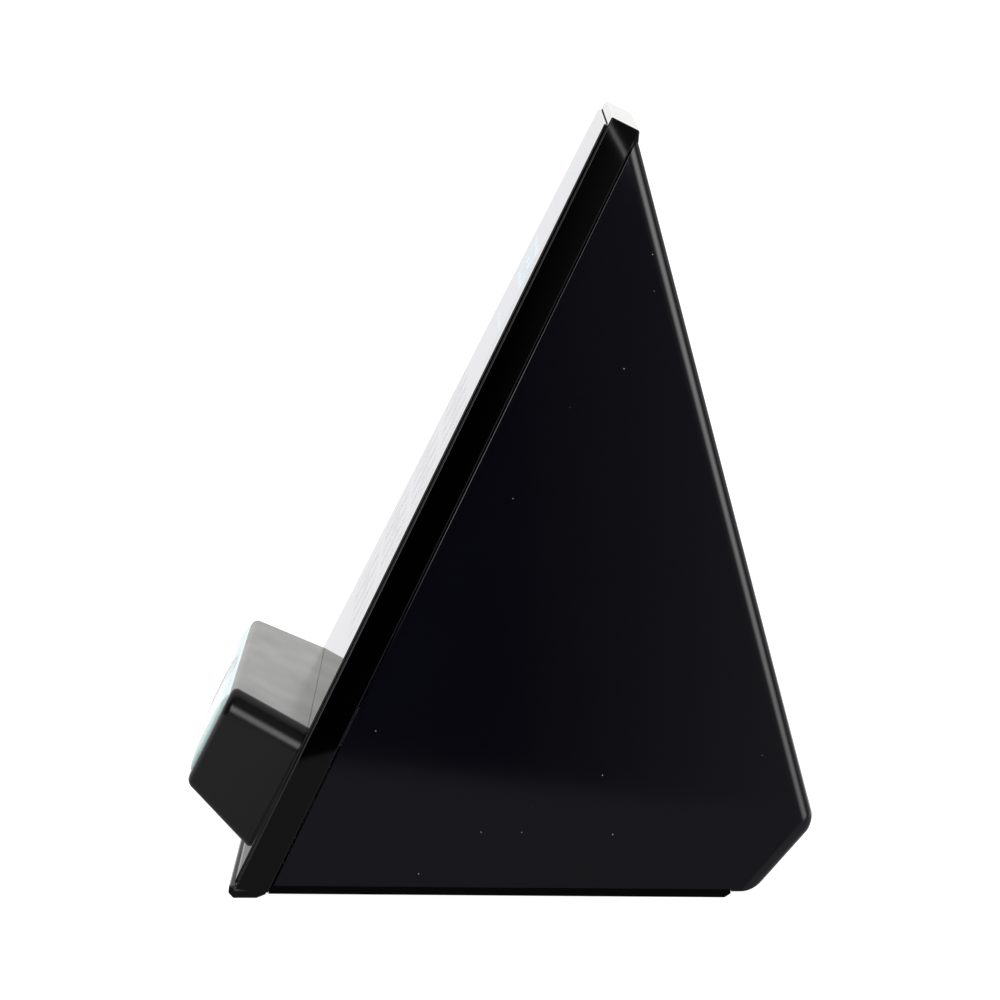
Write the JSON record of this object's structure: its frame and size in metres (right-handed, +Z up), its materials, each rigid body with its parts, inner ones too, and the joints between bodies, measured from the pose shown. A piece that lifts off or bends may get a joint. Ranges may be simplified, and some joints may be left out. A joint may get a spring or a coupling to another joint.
{
  "type": "punch time clock",
  "caption": "Desktop time clock: black wedge with a leaning glossy touch face, a fingerprint reader block at its foot and sockets in a chamfer at the back.",
  "frame": {"origin": "on the table under the middle of the clock's box", "axes": "-Y to the front that faces the user, +Z up, +X to the right as seen from the front"},
  "size_m": [0.1378, 0.164, 0.1998],
  "materials": {
    "face_gloss": "high gloss",
    "bezel_gloss": "high gloss",
    "housing_satin": "satin",
    "reader_satin": "satin",
    "inner_matte": "matte",
    "foot_rubber": "matte",
    "sensor_lens": "polished",
    "sensor_glass": "polished",
    "board": "satin",
    "steel": "satin",
    "display": "polished",
    "ribbon": "satin",
    "battery_wrap": "satin",
    "light_pipe": "polished"
  },
  "bodies": {
    "clock": {"ballast_plate": "steel", "base_cover": "housing_satin", "base_screw_1": "steel", "base_screw_2": "steel", "base_screw_3": "steel", "base_screw_4": "steel", "battery_pack": "battery_wrap", "board_screw_1": "steel", "board_screw_2": "steel", "board_screw_3": "steel", "board_screw_4": "steel", "coin_cell": "steel", "coin_cell_holder": "inner_matte", "display_board": "board", "display_frame": "steel", "display_glass": "display", "display_ribbon": "ribbon", "face_plate": "face_gloss", "foot_1": "foot_rubber", "foot_2": "foot_rubber", "foot_3": "foot_rubber", "foot_4": "foot_rubber", "front_bezel": "bezel_gloss", "hinge_pin": "steel", "main_board": "board", "network_jack": "steel", "port_board": "board", "power_jack": "inner_matte", "power_jack_pin": "steel", "processor_shield": "steel", "reader_back_plate": "inner_matte", "reader_housing": "reader_satin", "reader_lens": "sensor_lens", "reader_ribbon": "ribbon", "rear_housing": "housing_satin", "reset_switch": "inner_matte", "sensor_board": "board", "sensor_camera": "inner_matte", "sensor_light_1": "sensor_glass", "sensor_light_2": "sensor_glass", "sensor_prism": "sensor_glass", "sensor_window": "sensor_glass", "speaker": "inner_matte", "standoff_1": "steel", "standoff_2": "steel", "standoff_3": "steel", "standoff_4": "steel", "status_light_pipe": "light_pipe", "switch_body": "inner_matte", "touch_key_film": "ribbon", "usb_port": "steel", "wireless_module": "steel"},
    "battery_door": {"battery_door": "housing_satin"},
    "power_switch": {"power_switch": "face_gloss"},
    "reset_button": {"reset_button": "inner_matte"}
  },
  "joints": [
    {"name": "battery_door_hinge", "type": "hinge", "parent": "clock", "child": "battery_door", "pos_m": [0, 0.00428, 0.00175], "axis": [1, 0, 0], "range_deg": [0, 95]},
    {"name": "power_switch_rock", "type": "hinge", "parent": "clock", "child": "power_switch", "pos_m": [0.044, 0.07253, 0.01212], "axis": [0, 0.6786, 0.7345], "range_deg": [-12.2, 0]},
    {"name": "reset_button_press", "type": "slide", "parent": "clock", "child": "reset_button", "axis": [0, -0.7345, 0.6786], "range_m": [0, 0.0012], "stiffness_N_per_m": 300}
  ]
}
